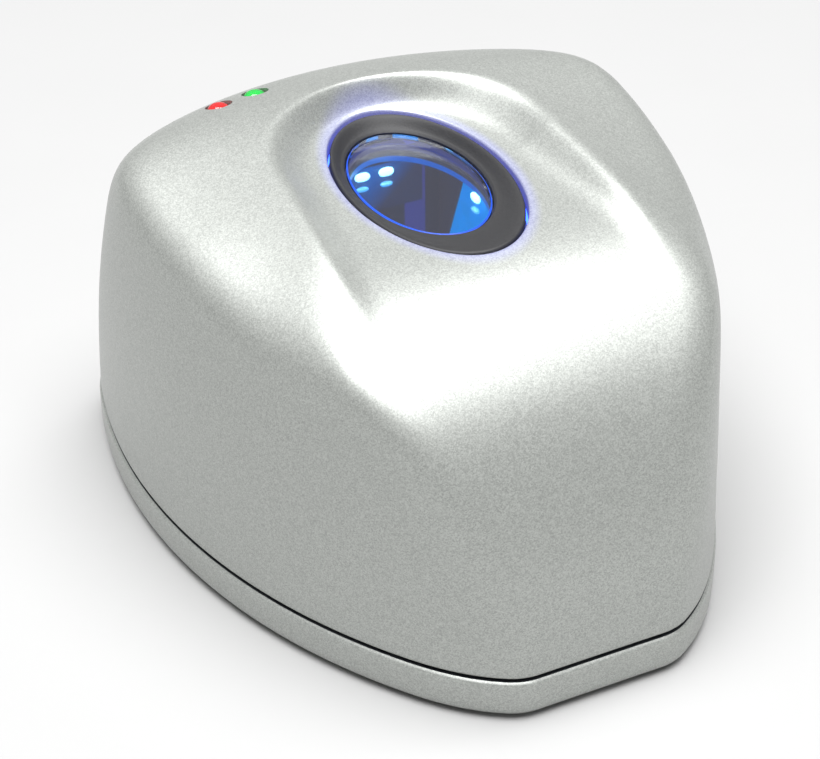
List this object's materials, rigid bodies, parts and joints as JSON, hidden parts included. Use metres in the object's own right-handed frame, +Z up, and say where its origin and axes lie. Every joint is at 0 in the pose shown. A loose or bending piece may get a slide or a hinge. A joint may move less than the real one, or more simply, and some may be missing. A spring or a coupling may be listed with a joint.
{
  "type": "fingerprint scanner terminal",
  "caption": "Desktop fingerprint scanner: silver wedge casing on a shallow base, oval lit glass window in a finger scoop, camera and lights inside, USB socket at the rear.",
  "frame": {"origin": "middle of the casing's length and width, on the plane that the rubber feet rest on", "axes": "+X to the user's right, -Y towards the user at the narrow end, +Y towards the wide rear with the USB socket, +Z up"},
  "size_m": [0.0792, 0.0998, 0.0547],
  "materials": {
    "silver_paint": "silver metallic paint with fine flake on moulded plastic",
    "black_plastic": "fine moulded texture",
    "blue_light_guide": "clear blue light guide",
    "optical_glass": "polished",
    "black_rubber": "matt",
    "circuit_board": "solder resist",
    "chip_resin": "moulded resin",
    "connector_plastic": "moulded",
    "tinned_metal": "tin plated sheet",
    "zinc_steel": "zinc plated",
    "ballast_steel": "rolled plate",
    "blue_led": "clear resin",
    "status_led": "clear resin",
    "red_lens": "polished clear red",
    "green_lens": "polished clear green",
    "cable_film": "polyimide film",
    "label_film": "blank printed film"
  },
  "bodies": {
    "root": {"ballast_plate": "ballast_steel", "base_housing": "silver_paint", "board_screw_1": "zinc_steel", "board_screw_2": "zinc_steel", "board_screw_3": "zinc_steel", "board_screw_4": "zinc_steel", "camera_lens": "optical_glass", "clock_crystal": "tinned_metal", "housing_screw_1": "zinc_steel", "housing_screw_2": "zinc_steel", "housing_screw_3": "zinc_steel", "housing_screw_4": "zinc_steel", "illumination_cable": "cable_film", "illumination_cable_socket": "connector_plastic", "image_sensor": "chip_resin", "left_led_1": "blue_led", "left_led_2": "blue_led", "left_light_board": "circuit_board", "lens_barrel": "black_plastic", "lens_holder": "black_plastic", "light_ring": "blue_light_guide", "main_board": "circuit_board", "memory_chip": "chip_resin", "optics_chassis": "black_plastic", "platen_gasket": "black_rubber", "platen_glass": "optical_glass", "power_capacitor": "tinned_metal", "processor_chip": "chip_resin", "rating_label": "label_film", "rear_led_1": "blue_led", "rear_led_2": "blue_led", "rear_led_3": "blue_led", "rear_led_4": "blue_led", "rear_light_board": "circuit_board", "right_led_1": "blue_led", "right_led_2": "blue_led", "right_light_board": "circuit_board", "rubber_foot_1": "black_rubber", "rubber_foot_2": "black_rubber", "rubber_foot_3": "black_rubber", "rubber_foot_4": "black_rubber", "status_board": "circuit_board", "status_board_screw": "zinc_steel", "status_cable": "cable_film", "status_cable_socket": "connector_plastic", "status_led_green": "status_led", "status_led_red": "status_led", "status_lens_green": "green_lens", "status_lens_red": "red_lens", "upper_housing": "silver_paint", "usb_controller_chip": "chip_resin", "usb_socket": "tinned_metal", "usb_tongue": "connector_plastic", "window_bezel": "black_plastic"}
  },
  "joints": []
}
